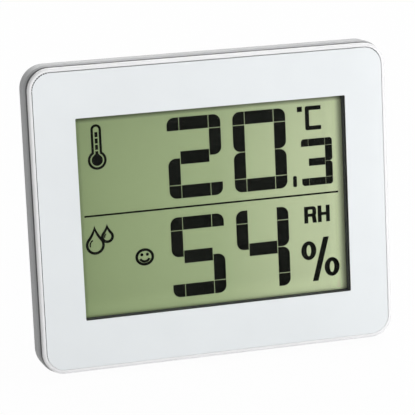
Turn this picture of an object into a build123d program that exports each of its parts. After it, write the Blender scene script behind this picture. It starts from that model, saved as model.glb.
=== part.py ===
from build123d import *
import math
import os

# Room thermometer and hygrometer with a large reflective display, standing on its folding stand.
# Millimetres. +X is to the right seen from the front, +Y to the back, +Z up.
# The origin is on the surface it stands on, under the middle of its box.
# Depths are measured backwards from the front face, heights upwards from the case's lower edge.

os.makedirs("parts", exist_ok=True)

cut_overrun = 2.0

# Case
case_width = 93.0
case_height = 77.0
case_corner_radius = 6.0
lean_angle = 8.42

# Front frame
frame_reveal = 0.4
frame_edge_round = 0.7
frame_rim_depth = 1.3
parting_gap = 0.8
parting_gap_reach = 0.6
flange_thickness = 1.2
frame_lip_depth = 1.5
frame_lip_thickness = 1.2
frame_lip_clearance = 0.15

# Panel: border film on a clear lens, with the window; it lies low and right in its pocket
panel_inset = 1.5
panel_seam = 0.15
panel_settle_right = 0.02
panel_settle_down = 0.1
overlay_thickness = 0.15
lens_thickness = 1.2
window_side_border = 10.12
window_end_border = 11.75
window_right_shift = 0.16
window_up_shift = 0.06
window_corner_radius = 0.3

# Display
gasket_wall = 1.15
gasket_clearance = 0.1
gasket_lip = 0.45
display_side_overlap = 2.4
display_overlap = 1.2
display_ledge = 2.9
glass_thickness = 0.7
figure_thickness = 0.05
reflector_thickness = 0.2
reflector_margin = 0.5
contact_strip_width = 2.0
contact_strip_margin = 3.0
contact_strip_inset = 0.5

# Holder and circuit board
holder_clearance = 0.15
holder_side_bar = 4.1
holder_end_bar = 1.8
board_gap = 1.55
board_thickness = 1.0
board_top_room = 0.9
boss_notch_clearance = 0.3
board_corner_radius = 1.0
board_screw_edge = 2.0
board_screw_row_inset = 3.2
board_screw_radius = 0.8
board_screw_length = 2.9
screw_clearance = 0.1
screw_pilot_clearance = 0.05
screw_tip_room = 0.3
board_screw_tip_room = 0.15
board_screw_head_radius = 1.6
board_screw_head_height = 1.1

# Rear shell
shell_wall = 1.6
shell_back_wall = 1.5
shell_edge_round = 3.2
shell_front_bevel_reach = 0.4
shell_front_bevel_depth = 1.0
raised_back_side_inset = 8.5
raised_back_bottom = 4.5
raised_back_top_inset = 14.3
raised_back_corner_radius = 5.0
raised_back_edge_round = 1.5

# Case screws
case_screw_side_inset = 5.6
case_screw_end_inset = 5.6
case_screw_radius = 1.1
case_screw_head_radius = 1.95
case_screw_head_height = 1.3
case_screw_head_clearance = 0.25
case_screw_seat = 1.9
case_screw_length = 5.0
shell_boss_wall = 0.7
frame_boss_radius = 2.2
boss_joint_gap = 0.1
screw_slot_width = 0.4
screw_slot_depth = 0.5
screw_slot_share = 1.2
screw_head_round = 0.4

# Battery bay, cell and contacts
cell_radius = 5.15
cell_length = 43.3
cell_nub_radius = 1.9
cell_nub_length = 1.0
cell_edge_round = 0.5
cell_seat_gap = 0.15
cell_back_gap = 0.25
bay_clearance = 0.35
bay_floor_gap = 1.05
bay_floor_thickness = 1.0
bay_side_wall = 1.5
bay_top_wall = 1.4
bay_end_wall = 6.5
contact_thickness = 0.4
contact_width = 9.0
contact_play = 0.05
contact_leg_width = 1.6
contact_leg_reach = 1.7
contact_slot_clearance = 0.1
spring_length = 4.2
spring_wire_radius = 0.3
spring_radius = 3.4
spring_turns = 3

# Battery door
door_clearance = 0.2
door_plate_thickness = 1.2
door_end_wall = 1.2
door_side_reach = 4.0
door_flange_width = 1.2
door_flange_height = 1.3
door_tongue_reach = 0.9
door_tongue_height = 0.9
door_tongue_clearance = 0.12
door_tongue_inset = 1.5
door_grip_width = 14.0
door_grip_groove = 0.8
door_grip_depth = 0.4
door_grip_pitch = 1.8
door_grip_count = 4
door_arrow_width = 5.0
door_arrow_height = 2.2
door_arrow_depth = 0.3
door_arrow_rise = 3.6

# Stand
stand_thickness = 2.0
stand_surface_drop = 0.2
stand_width = 34.0
stand_foot_width = 28.0
stand_foot_height = 1.0
stand_heel = 2.6
stand_foot_corner_radius = 4.0
stand_foot_round = 0.85
stand_side_clearance = 0.3
stand_heel_room = 0.8
stand_stop_gap = 0.05
stand_pin_radius = 1.0
stand_pin_length = 1.2
stand_pin_clearance = 0.05
stand_panel_margin = 5.0
stand_panel_depth = 0.6
stand_panel_radius = 2.0
recess_wall = 1.6

# Buttons and their switches
button_height_share = 0.66
button_radius = 3.0
button_clearance = 0.25
button_proud = 0.6
button_edge_round = 0.5
button_flange_reach = 0.9
button_flange_thickness = 1.0
button_flange_gap = 0.05
button_stem_radius = 2.0
switch_width = 6.0
switch_height = 3.5
switch_corner_radius = 0.5
plunger_radius = 1.7
plunger_proud = 0.8
plunger_seat = 0.5
plunger_clearance = 0.15
plunger_room = 0.5

# Vents and wall hanging hole
vent_height_share = 0.23
vent_length_share = 0.69
vent_width = 1.2
vent_pitch = 2.6
vent_count = 5
hang_hole_rise = 4.9
hang_hole_radius = 3.5
hang_slot_radius = 1.8
hang_slot_reach = 4.4

# Parts on the board
chip_height_share = 0.39
chip_radius = 7.0
chip_thickness = 1.5
chip_round = 1.2
crystal_side = 15.0
crystal_drop = 10.5
crystal_radius = 1.0
crystal_length = 6.0
crystal_gap = 0.05
crystal_edge_round = 0.25
humidity_sensor_width = 9.0
humidity_sensor_depth = 2.4
humidity_sensor_size = 8.0
humidity_slot_width = 0.8
humidity_slot_pitch = 2.0
humidity_slot_count = 4
humidity_slot_depth = 1.0
thermistor_radius = 1.1
thermistor_length = 3.2
thermistor_edge_round = 0.5
thermistor_leg_radius = 0.25
thermistor_leg_spacing = 1.1
thermistor_leg_length = 3.0
component_length = 2.0
component_width = 1.25
component_thickness = 0.6
component_pitch = 3.2
component_rows = 2
component_columns = 5
component_side = -12.0
component_drop = 5.5
pad_width = 16.0
pad_height = 6.0
board_pad_height_share = 0.3

# Display figures: large seven segment digits
figures_right_shift = 0.2
figures_down_shift = 0.19
figures_side_margin = 1.54
figures_end_margin = 0.6
digit_width = 13.95
digit_height = 20.45
digit_side_stroke = 3.08
digit_bar_stroke = 3.28
digit_gap = 0.17
digit_corner_radius = 1.9
corner_match_share = 0.1
tens_left = -10.98
units_left = 6.12
temperature_bottom = 2.6
humidity_bottom = -22.6
humidity_left_shift = 0.2

# Display figures: tenths digit and decimal bar
tenths_left = 24.02
tenths_width = 8.3
tenths_height = 12.0
tenths_stroke = 1.9
tenths_corner_radius = 0.8
tenths_gap = 0.07
decimal_left = 21.59
decimal_width = 1.0
decimal_height = 2.8
decimal_corner_radius = 0.35

# Display figures: unit marks
degree_dot = 1.33
degree_left = 23.26
celsius_left = 25.35
celsius_width = 4.24
celsius_height = 6.15
celsius_stroke = 1.07
celsius_corner_radius = 0.5
unit_top = 22.98
relative_left = 24.22
relative_top = -2.8
relative_height = 4.3
relative_width = 3.25
relative_gap = 0.4
relative_stroke = 1.03
relative_bar_stroke = 0.8
relative_corner_radius = 0.9
relative_inner_radius = 0.22
relative_leg_width = 1.08
relative_leg_slant = 0.3
relative_leg_overhang = 0.1
relative_leg_overlap = 0.42
percent_left = 23.1
percent_right = 33.3
percent_top = -11.03
percent_bottom = -22.3
percent_oval_width = 4.05
percent_oval_height = 4.9
percent_oval_drop = 0.75
percent_oval_lift = 0.85
percent_side_stroke = 1.4
percent_end_stroke = 1.0
percent_slash_width = 1.5
percent_slash_left = 25.95
percent_slash_right = 30.65

# Display symbols
symbol_stroke = 0.62
divider_left = -33.08
divider_right = 33.6
divider_height = 0.35
divider_stroke = 0.44
thermometer_side = -29.06
thermometer_top = 23.15
thermometer_stem_width = 2.68
bulb_height = 14.2
bulb_radius = 2.38
bulb_fill_radius = 1.42
bulb_fill_tip = 2.3
mercury_width = 0.74
mercury_dash_length = 1.25
mercury_dash_gap = 0.33
mercury_dash_count = 3
mercury_top_drop = 1.95
large_drop_side = -30.7
large_drop_height = -7.0
large_drop_radius = 2.43
large_drop_tip = 4.92
small_drop_side = -27.5
small_drop_height = -5.15
small_drop_radius = 1.65
small_drop_tip = 3.22
drop_flank_share = 0.45
drop_stroke = 0.68
drop_shine_share = 0.76
drop_shine_stroke = 0.35
drop_shine_start_angle = 115
drop_shine_sweep_angle = 85
face_side = -18.22
face_height = -11.3
face_half_width = 2.42
face_half_height = 2.2
face_stroke = 0.68
face_eye_radius = 0.4
face_eye_side = 0.72
face_eye_lift = 0.62
face_mouth_radius = 1.3
face_mouth_drop = 0.15
face_mouth_start_angle = 205
face_mouth_sweep_angle = 130

# Depths of the layers, from the front face backwards
lens_back_depth = overlay_thickness + lens_thickness
flange_back_depth = lens_back_depth + flange_thickness
glass_front_depth = flange_back_depth + gasket_lip
figure_depth = glass_front_depth + glass_thickness
rear_glass_depth = figure_depth + figure_thickness
reflector_depth = rear_glass_depth + glass_thickness
reflector_back_depth = reflector_depth + reflector_thickness
board_front_depth = reflector_back_depth + board_gap
board_back_depth = board_front_depth + board_thickness
bay_floor_depth = reflector_back_depth + bay_floor_gap
bay_inner_depth = bay_floor_depth + bay_floor_thickness
cell_depth = bay_inner_depth + cell_seat_gap + cell_radius
door_inner_depth = cell_depth + cell_radius + cell_back_gap
raised_back_depth = door_inner_depth + door_plate_thickness
shell_back_depth = board_back_depth + case_screw_seat + case_screw_head_height
shell_front_depth = frame_rim_depth + parting_gap
shell_inner_depth = shell_back_depth - shell_back_wall
raised_inner_depth = raised_back_depth - shell_back_wall

# Widths and heights that pieces share
half_height = case_height / 2
panel_width = case_width - 2 * panel_inset
panel_height = case_height - 2 * panel_inset
panel_corner_radius = case_corner_radius - panel_inset
window_width = panel_width - 2 * window_side_border
window_height = panel_height - 2 * window_end_border
display_width = window_width + 2 * display_side_overlap
shell_inner_width = case_width - 2 * shell_wall
shell_inner_height = case_height - 2 * shell_wall
shell_inner_radius = case_corner_radius - shell_wall
display_top = half_height + window_height / 2 + display_overlap
rear_glass_bottom = half_height - window_height / 2 - display_overlap / 2
display_bottom = rear_glass_bottom - display_ledge
holder_width = display_width + 2 * (holder_clearance + holder_side_bar)
holder_bottom = display_bottom - holder_clearance - holder_end_bar
holder_top = display_top + holder_clearance + holder_end_bar

# The raised back from its top down: door, battery bay, and the stand's recess below them
raised_back_width = case_width - 2 * raised_back_side_inset
raised_top = case_height - raised_back_top_inset
bay_width = 2 * (cell_radius + bay_clearance)
bay_top = raised_top - door_end_wall - door_clearance - bay_top_wall
bay_bottom = bay_top - bay_width
cell_height = bay_bottom + bay_width / 2
recess_top = bay_bottom - bay_side_wall
recess_width = stand_width + 2 * stand_side_clearance
stand_hinge_height = recess_top - stand_heel_room - stand_heel
stand_length = stand_hinge_height - stand_foot_height
board_top_height = recess_top - board_top_room
hang_hole_height = raised_top + hang_hole_rise

# Buttons and vents share the space on each side of the recess
side_space_start = recess_width / 2 + recess_wall
side_space_end = raised_back_width / 2 - shell_wall
button_side = (side_space_start + side_space_end) / 2
button_height = raised_back_bottom + (recess_top - raised_back_bottom) * button_height_share
vent_height = raised_back_bottom + (recess_top - raised_back_bottom) * vent_height_share
vent_length = (side_space_end - side_space_start) * vent_length_share

# The lean, and how far the case's lower front edge lies above the surface it stands on
lean_sine = math.sin(math.radians(lean_angle))
lean_cosine = math.cos(math.radians(lean_angle))
front_edge_lift = (
    shell_edge_round * (1 - lean_cosine) + (shell_back_depth - shell_edge_round) * lean_sine
)

# The stand's angle from upright, which brings its foot down to the surface
stand_hinge_depth = raised_back_depth - stand_surface_drop - stand_thickness / 2
hinge_lift = (
    stand_hinge_height * lean_cosine - stand_hinge_depth * lean_sine + front_edge_lift
)
foot_along = stand_length - stand_foot_round
foot_across = stand_thickness / 2 - stand_foot_round
stand_tilt = math.atan2(foot_across, foot_along) + math.acos(
    (hinge_lift - stand_foot_round) / math.hypot(foot_along, foot_across)
)
open_angle = stand_tilt + math.radians(lean_angle)
recess_floor_depth = (
    stand_hinge_depth
    - stand_heel * math.sin(open_angle)
    - stand_thickness / 2 * math.cos(open_angle)
    - stand_stop_gap
)

# The box's front and back, measured from the case's lower front edge, put the origin in its middle
box_front = (
    (frame_reveal + frame_edge_round) * lean_sine + frame_edge_round * (lean_cosine - 1)
)
hinge_back = stand_hinge_height * lean_sine + stand_hinge_depth * lean_cosine
box_back = (
    hinge_back
    + foot_along * math.sin(stand_tilt)
    + foot_across * math.cos(stand_tilt)
    + stand_foot_round
)
box_shift = -(box_front + box_back) / 2

front_plane = Plane(
    origin=(0, box_shift + half_height * lean_sine, front_edge_lift + half_height * lean_cosine),
    x_dir=(1, 0, 0),
    z_dir=(0, -lean_cosine, lean_sine),
)
forward_axis = Axis(front_plane.origin, front_plane.z_dir)
upward_axis = Axis(front_plane.origin, front_plane.y_dir)


def behind(depth):
    """Plane parallel to the front face and facing the front, at a depth behind it."""
    return front_plane.offset(-depth)


def beside(side):
    """Plane square to X at a distance from the middle; x runs backwards, y up the case."""
    return Plane(
        origin=front_plane.from_local_coords((side, 0, 0)),
        x_dir=(0, lean_cosine, -lean_sine),
        z_dir=(1, 0, 0),
    )


def up_from_edge(height):
    """Height above the case's lower edge, as a height from its middle."""
    return height - half_height


def span(center_x, low, high, width):
    """Rectangle between two heights above the case's lower edge."""
    with Locations((center_x, up_from_edge((low + high) / 2))):
        Rectangle(width, high - low)


# Front frame: rounded rim, pocket for the lens, flange round the window, lip and screw bosses
frame_width = case_width - 2 * frame_reveal
frame_height = case_height - 2 * frame_reveal
frame_radius = case_corner_radius - frame_reveal
neck_width = frame_width - 2 * parting_gap_reach
neck_height = frame_height - 2 * parting_gap_reach
neck_radius = frame_radius - parting_gap_reach
lip_width = shell_inner_width - 2 * frame_lip_clearance
lip_height = shell_inner_height - 2 * frame_lip_clearance
lip_radius = shell_inner_radius - frame_lip_clearance
gasket_outer_width = window_width + 2 * gasket_wall
gasket_outer_height = window_height + 2 * gasket_wall
screw_spacing_x = case_width - 2 * case_screw_side_inset
screw_spacing_y = case_height - 2 * case_screw_end_inset
boss_joint_depth = shell_back_depth - case_screw_seat - case_screw_head_height
case_screw_tip_depth = shell_back_depth - case_screw_seat - case_screw_length

with BuildPart() as front_frame:
    with BuildSketch(behind(0)):
        RectangleRounded(frame_width, frame_height, frame_radius)
    extrude(amount=-frame_rim_depth)
    fillet(front_frame.faces().sort_by(forward_axis)[-1].edges(), frame_edge_round)
    with BuildSketch(behind(frame_rim_depth)):
        RectangleRounded(neck_width, neck_height, neck_radius)
    extrude(amount=-parting_gap)
    with BuildSketch(behind(shell_front_depth)):
        RectangleRounded(lip_width, lip_height, lip_radius)
    extrude(amount=-(flange_back_depth - shell_front_depth))
    with BuildSketch(behind(flange_back_depth)):
        RectangleRounded(lip_width, lip_height, lip_radius)
        RectangleRounded(
            lip_width - 2 * frame_lip_thickness,
            lip_height - 2 * frame_lip_thickness,
            lip_radius - frame_lip_thickness,
            mode=Mode.SUBTRACT,
        )
    extrude(amount=-(shell_front_depth + frame_lip_depth - flange_back_depth))
    with BuildSketch(behind(flange_back_depth)):
        with GridLocations(screw_spacing_x, screw_spacing_y, 2, 2):
            Circle(frame_boss_radius)
    extrude(amount=-(boss_joint_depth - flange_back_depth - boss_joint_gap))
    with BuildSketch(behind(0)):
        with Locations((-panel_settle_right / 2, panel_settle_down / 2)):
            RectangleRounded(
                panel_width + 2 * panel_seam,
                panel_height + 2 * panel_seam,
                panel_corner_radius + panel_seam,
            )
    extrude(amount=-lens_back_depth, mode=Mode.SUBTRACT)
    with BuildSketch(behind(lens_back_depth)):
        Rectangle(
            gasket_outer_width + 2 * gasket_clearance, gasket_outer_height + 2 * gasket_clearance
        )
    extrude(amount=-(flange_thickness + cut_overrun), mode=Mode.SUBTRACT)
    with BuildSketch(behind(case_screw_tip_depth - screw_tip_room)):
        with GridLocations(screw_spacing_x, screw_spacing_y, 2, 2):
            Circle(case_screw_radius + screw_pilot_clearance)
    extrude(amount=-shell_back_depth, mode=Mode.SUBTRACT)
front_frame.part.label = "front_frame"
export_step(front_frame.part, "parts/front_frame.step")

# Border film on the lens
with BuildPart() as front_overlay:
    with BuildSketch(behind(0)):
        with Locations((panel_settle_right / 2, -panel_settle_down / 2)):
            RectangleRounded(panel_width, panel_height, panel_corner_radius)
        with Locations((window_right_shift, window_up_shift)):
            RectangleRounded(
                window_width, window_height, window_corner_radius, mode=Mode.SUBTRACT
            )
    extrude(amount=-overlay_thickness)
front_overlay.part.label = "front_overlay"
export_step(front_overlay.part, "parts/front_overlay.step")

# Clear lens
with BuildPart() as front_lens:
    with BuildSketch(behind(overlay_thickness)):
        with Locations((panel_settle_right / 2, -panel_settle_down / 2)):
            RectangleRounded(panel_width, panel_height, panel_corner_radius)
    extrude(amount=-lens_thickness)
front_lens.part.label = "front_lens"
export_step(front_lens.part, "parts/front_lens.step")

# Dark gasket: a sleeve through the flange and a lip that the glass rests on
with BuildPart() as display_gasket:
    with BuildSketch(behind(lens_back_depth)):
        Rectangle(gasket_outer_width, gasket_outer_height)
        with Locations((window_right_shift, window_up_shift)):
            RectangleRounded(
                window_width, window_height, window_corner_radius, mode=Mode.SUBTRACT
            )
    extrude(amount=-flange_thickness)
    with BuildSketch(behind(flange_back_depth)):
        span(0, rear_glass_bottom, display_top, display_width)
        with Locations((window_right_shift, window_up_shift)):
            RectangleRounded(
                window_width, window_height, window_corner_radius, mode=Mode.SUBTRACT
            )
    extrude(amount=-gasket_lip)
display_gasket.part.label = "display_gasket"
export_step(display_gasket.part, "parts/display_gasket.step")

# Display glasses: the front one reaches down past the rear one, where its contacts are
with BuildPart() as display_front_glass:
    with BuildSketch(behind(glass_front_depth)):
        span(0, display_bottom, display_top, display_width)
    extrude(amount=-glass_thickness)
display_front_glass.part.label = "display_front_glass"
export_step(display_front_glass.part, "parts/display_front_glass.step")

with BuildPart() as display_rear_glass:
    with BuildSketch(behind(rear_glass_depth)):
        span(0, rear_glass_bottom, display_top, display_width)
    extrude(amount=-glass_thickness)
display_rear_glass.part.label = "display_rear_glass"
export_step(display_rear_glass.part, "parts/display_rear_glass.step")

with BuildPart() as display_reflector:
    with BuildSketch(behind(reflector_depth)):
        span(
            0,
            rear_glass_bottom + reflector_margin,
            display_top - reflector_margin,
            display_width - 2 * reflector_margin,
        )
    extrude(amount=-reflector_thickness)
display_reflector.part.label = "display_reflector"
export_step(display_reflector.part, "parts/display_reflector.step")


def seven_segment(width, height, side_stroke, bar_stroke, corner_radius, gap, left, bottom, lit):
    """Lit pieces of one digit. Each bar is split by hairline gaps, and outer corners are round."""
    right = left + width
    top = bottom + height
    middle = (bottom + top) / 2
    column = {
        "left": (left, left + side_stroke),
        "centre": (left + side_stroke + gap, right - side_stroke - gap),
        "right": (right - side_stroke, right),
    }
    row = {
        "top": (top - bar_stroke, top),
        "upper": (middle + gap / 2, top - bar_stroke - gap),
        "middle": (middle - bar_stroke / 2, middle + bar_stroke / 2),
        "lower": (bottom + bar_stroke + gap, middle - gap / 2),
        "bottom": (bottom, bottom + bar_stroke),
    }
    outer_heights = (top, middle + gap / 2, middle - gap / 2, bottom)
    near = gap * corner_match_share

    def is_outer_corner(vertex):
        at_side = min(abs(vertex.X - left), abs(vertex.X - right)) < near
        return at_side and min(abs(vertex.Y - height_here) for height_here in outer_heights) < near

    with BuildSketch(mode=Mode.PRIVATE) as digit:
        for place in lit:
            row_name, column_name = place.split()
            low, high = row[row_name]
            start, end = column[column_name]
            with Locations(((start + end) / 2, (low + high) / 2)):
                Rectangle(end - start, high - low)
        fillet(digit.vertices().filter_by(is_outer_corner), corner_radius)
    return digit.sketch


LIT_TWO = (
    "top left", "top centre", "top right", "upper right", "middle centre",
    "lower left", "bottom left", "bottom centre", "bottom right",
)
LIT_ZERO = (
    "top left", "top centre", "top right", "upper left", "upper right",
    "lower left", "lower right", "bottom left", "bottom centre", "bottom right",
)
LIT_THREE = (
    "top left", "top centre", "top right", "upper right", "middle centre",
    "lower right", "bottom left", "bottom centre", "bottom right",
)
LIT_FIVE = (
    "top left", "top centre", "top right", "upper left", "middle centre",
    "lower right", "bottom left", "bottom centre", "bottom right",
)
LIT_FOUR = (
    "top left", "top right", "upper left", "upper right", "middle centre",
    "lower right", "bottom right",
)


def large_digit(left, bottom, lit):
    return seven_segment(
        digit_width, digit_height, digit_side_stroke, digit_bar_stroke, digit_corner_radius,
        digit_gap, left, bottom, lit,
    )


def drop_shape(radius, tip):
    """Round drop about the sketch's origin, with slightly hollow flanks up to its tip."""
    flank = math.acos(radius / tip)
    side = radius * math.sin(flank)
    rise = radius * math.cos(flank)
    bend = ((tip - rise) * drop_flank_share, side * drop_flank_share)
    with BuildSketch(mode=Mode.PRIVATE) as shape:
        with BuildLine():
            Bezier((0, tip), (-bend[1] * drop_flank_share, tip - bend[0]), (-side, rise))
            Line((-side, rise), (0, 0))
            Line((0, 0), (side, rise))
            Bezier((side, rise), (bend[1] * drop_flank_share, tip - bend[0]), (0, tip))
        make_face()
        Circle(radius)
    return shape.sketch


def drop_ring(radius, tip):
    """Outline of a drop with a short curved highlight inside its left flank."""
    inner_share = (radius - drop_stroke) / radius
    with BuildSketch(mode=Mode.PRIVATE) as ring:
        add(drop_shape(radius, tip))
        add(drop_shape(radius * inner_share, tip * inner_share), mode=Mode.SUBTRACT)
        with BuildLine():
            CenterArc(
                (0, 0),
                (radius - drop_stroke) * drop_shine_share,
                drop_shine_start_angle,
                drop_shine_sweep_angle,
            )
        trace(line_width=drop_shine_stroke)
    return ring.sketch


def oval_ring(half_width_here, half_height_here, side_stroke, end_stroke):
    Ellipse(half_width_here, half_height_here)
    Ellipse(half_width_here - side_stroke, half_height_here - end_stroke, mode=Mode.SUBTRACT)


figures_share = min(
    (window_width - 2 * figures_side_margin) / (divider_right - divider_left),
    (window_height - 2 * figures_end_margin) / (thermometer_top - humidity_bottom),
)
display_plane = Plane(
    origin=behind(figure_depth).from_local_coords((figures_right_shift, -figures_down_shift, 0)),
    x_dir=front_plane.x_dir,
    z_dir=front_plane.z_dir,
)

# Upper line of figures: 20.3 with its unit
with BuildPart() as temperature_figures:
    with BuildSketch(display_plane):
        add(large_digit(tens_left, temperature_bottom, LIT_TWO))
        add(large_digit(units_left, temperature_bottom, LIT_ZERO))
        add(
            seven_segment(
                tenths_width, tenths_height, tenths_stroke, tenths_stroke, tenths_corner_radius,
                tenths_gap, tenths_left, temperature_bottom, LIT_THREE,
            )
        )
        with Locations((decimal_left + decimal_width / 2, temperature_bottom + decimal_height / 2)):
            RectangleRounded(decimal_width, decimal_height, decimal_corner_radius)
        with Locations((degree_left + degree_dot / 2, unit_top - degree_dot / 2)):
            Rectangle(degree_dot, degree_dot)
        scale(by=figures_share)
    extrude(amount=-figure_thickness)
    with BuildSketch(display_plane):
        with Locations((celsius_left + celsius_width / 2, unit_top - celsius_height / 2)):
            Rectangle(celsius_width, celsius_height)
            fillet(vertices().group_by(Axis.X)[0], celsius_corner_radius)
            Rectangle(
                celsius_width - 2 * celsius_stroke,
                celsius_height - 2 * celsius_stroke,
                mode=Mode.SUBTRACT,
            )
        with Locations((celsius_left + celsius_width, unit_top - celsius_height / 2)):
            Rectangle(
                2 * celsius_stroke, celsius_height - 2 * celsius_stroke, mode=Mode.SUBTRACT
            )
        scale(by=figures_share)
    extrude(amount=-figure_thickness)
temperature_figures.part.label = "temperature_figures"
export_step(temperature_figures.part, "parts/temperature_figures.step")

# Lower line of figures: 54 with its unit
percent_oval_x = percent_oval_width / 2
percent_oval_y = percent_oval_height / 2
letter_middle = relative_top - relative_height / 2
h_left = relative_left + relative_width + relative_gap

with BuildPart() as humidity_figures:
    with BuildSketch(display_plane):
        add(large_digit(tens_left - humidity_left_shift, humidity_bottom, LIT_FIVE))
        add(large_digit(units_left - humidity_left_shift / 2, humidity_bottom, LIT_FOUR))
        with BuildLine():
            Polyline(
                (percent_slash_left, percent_bottom),
                (percent_slash_left + percent_slash_width, percent_bottom),
                (percent_slash_right, percent_top),
                (percent_slash_right - percent_slash_width, percent_top),
                close=True,
            )
        make_face()
        scale(by=figures_share)
    extrude(amount=-figure_thickness)
    with BuildSketch(display_plane):
        with Locations(
            (percent_left + percent_oval_x, percent_top - percent_oval_drop - percent_oval_y),
            (percent_right - percent_oval_x, percent_bottom + percent_oval_lift + percent_oval_y),
        ):
            oval_ring(percent_oval_x, percent_oval_y, percent_side_stroke, percent_end_stroke)
        scale(by=figures_share)
    extrude(amount=-figure_thickness)
    with BuildSketch(display_plane):
        bowl_height = relative_height / 2 + relative_stroke / 2
        bowl_middle = relative_top - bowl_height / 2
        with Locations((relative_left + relative_width / 2, bowl_middle)):
            RectangleRounded(relative_width, bowl_height, relative_corner_radius)
            RectangleRounded(
                relative_width - 2 * relative_stroke,
                bowl_height - 2 * relative_bar_stroke,
                relative_inner_radius,
                mode=Mode.SUBTRACT,
            )
        with Locations((relative_left + relative_stroke / 2, letter_middle)):
            Rectangle(relative_stroke, relative_height)
        with BuildLine():
            leg_right = relative_left + relative_width + relative_leg_overhang
            leg_top = relative_top - bowl_height + relative_leg_overlap
            Polyline(
                (leg_right, relative_top - relative_height),
                (leg_right - relative_leg_width, relative_top - relative_height),
                (leg_right - relative_leg_width - relative_leg_slant, leg_top),
                (leg_right - relative_leg_slant, leg_top),
                close=True,
            )
        make_face()
        with Locations(
            (h_left + relative_stroke / 2, letter_middle),
            (h_left + relative_width - relative_stroke / 2, letter_middle),
        ):
            Rectangle(relative_stroke, relative_height)
        with Locations((h_left + relative_width / 2, letter_middle)):
            Rectangle(relative_width, relative_bar_stroke)
        scale(by=figures_share)
    extrude(amount=-figure_thickness)
humidity_figures.part.label = "humidity_figures"
export_step(humidity_figures.part, "parts/humidity_figures.step")

# Dividing line, thermometer, drops and face
stem_bottom = bulb_height
stem_top = thermometer_top - thermometer_stem_width / 2

with BuildPart() as display_symbols:
    with BuildSketch(display_plane):
        with Locations(((divider_left + divider_right) / 2, divider_height)):
            Rectangle(divider_right - divider_left, divider_stroke)
        scale(by=figures_share)
    extrude(amount=-figure_thickness)
    with BuildSketch(display_plane):
        for inset, mode in ((0, Mode.ADD), (symbol_stroke, Mode.SUBTRACT)):
            with Locations((thermometer_side, bulb_height)):
                Circle(bulb_radius - inset, mode=mode)
            with Locations((thermometer_side, stem_top)):
                Circle(thermometer_stem_width / 2 - inset, mode=mode)
            with Locations((thermometer_side, (stem_bottom + stem_top) / 2)):
                Rectangle(
                    thermometer_stem_width - 2 * inset, stem_top - stem_bottom, mode=mode
                )
        with Locations((thermometer_side, bulb_height)):
            add(drop_shape(bulb_fill_radius, bulb_fill_tip))
        mercury_top = thermometer_top - mercury_top_drop
        dash_pitch = mercury_dash_length + mercury_dash_gap
        for dash in range(mercury_dash_count):
            dash_top = mercury_top - dash * dash_pitch
            with Locations((thermometer_side, dash_top - mercury_dash_length / 2)):
                Rectangle(mercury_width, mercury_dash_length)
        column_top = mercury_top - mercury_dash_count * dash_pitch
        with Locations((thermometer_side, (column_top + bulb_height) / 2)):
            Rectangle(mercury_width, column_top - bulb_height)
        scale(by=figures_share)
    extrude(amount=-figure_thickness)
    with BuildSketch(display_plane):
        with Locations((small_drop_side, small_drop_height)):
            add(drop_ring(small_drop_radius, small_drop_tip))
        with Locations((large_drop_side, large_drop_height)):
            add(drop_shape(large_drop_radius, large_drop_tip), mode=Mode.SUBTRACT)
            add(drop_ring(large_drop_radius, large_drop_tip))
        scale(by=figures_share)
    extrude(amount=-figure_thickness)
    with BuildSketch(display_plane):
        with Locations((face_side, face_height)):
            oval_ring(face_half_width, face_half_height, face_stroke, face_stroke)
        with Locations((face_side, face_height + face_eye_lift)):
            with GridLocations(2 * face_eye_side, 0, 2, 1):
                Circle(face_eye_radius)
        with BuildLine():
            CenterArc(
                (face_side, face_height + face_mouth_drop),
                face_mouth_radius,
                face_mouth_start_angle,
                face_mouth_sweep_angle,
            )
        trace(line_width=symbol_stroke)
        scale(by=figures_share)
    extrude(amount=-figure_thickness)
display_symbols.part.label = "display_symbols"
export_step(display_symbols.part, "parts/display_symbols.step")

# Holder: a frame round the display that also carries the circuit board
board_left_right = holder_width / 2 - board_screw_edge
board_screw_bottom = holder_bottom + board_screw_row_inset
board_screw_top = board_top_height - board_screw_row_inset
board_screw_spots = [
    (side, up_from_edge(height))
    for side in (-board_left_right, board_left_right)
    for height in (board_screw_bottom, board_screw_top)
]
board_screw_tip_depth = board_back_depth - board_screw_length - board_thickness


def notch_round_bosses():
    """Keeps the holder and the board clear of the front frame's screw bosses."""
    with GridLocations(screw_spacing_x, screw_spacing_y, 2, 2):
        Circle(frame_boss_radius + boss_notch_clearance, mode=Mode.SUBTRACT)


with BuildPart() as display_holder:
    with BuildSketch(behind(flange_back_depth)):
        span(0, holder_bottom, holder_top, holder_width)
        with Locations((0, up_from_edge((display_bottom + display_top) / 2))):
            Rectangle(
                display_width + 2 * holder_clearance,
                display_top - display_bottom + 2 * holder_clearance,
                mode=Mode.SUBTRACT,
            )
        notch_round_bosses()
    extrude(amount=-(board_front_depth - flange_back_depth))
    with BuildSketch(behind(board_screw_tip_depth - board_screw_tip_room)):
        with Locations(*board_screw_spots):
            Circle(board_screw_radius + screw_pilot_clearance)
    extrude(amount=-board_front_depth, mode=Mode.SUBTRACT)
display_holder.part.label = "display_holder"
export_step(display_holder.part, "parts/display_holder.step")

# Elastomer strip between the front glass's contact ledge and the board
with BuildPart() as contact_strip:
    with BuildSketch(behind(figure_depth)):
        span(
            0,
            display_bottom + contact_strip_inset,
            display_bottom + contact_strip_inset + contact_strip_width,
            display_width - 2 * contact_strip_margin,
        )
    extrude(amount=-(board_front_depth - figure_depth))
contact_strip.part.label = "contact_strip"
export_step(contact_strip.part, "parts/contact_strip.step")

# Foam pads behind the reflector: two on the battery bay's floor and two on the board
board_height = board_top_height - holder_bottom
board_pad_height = holder_bottom + board_height * board_pad_height_share

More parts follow.
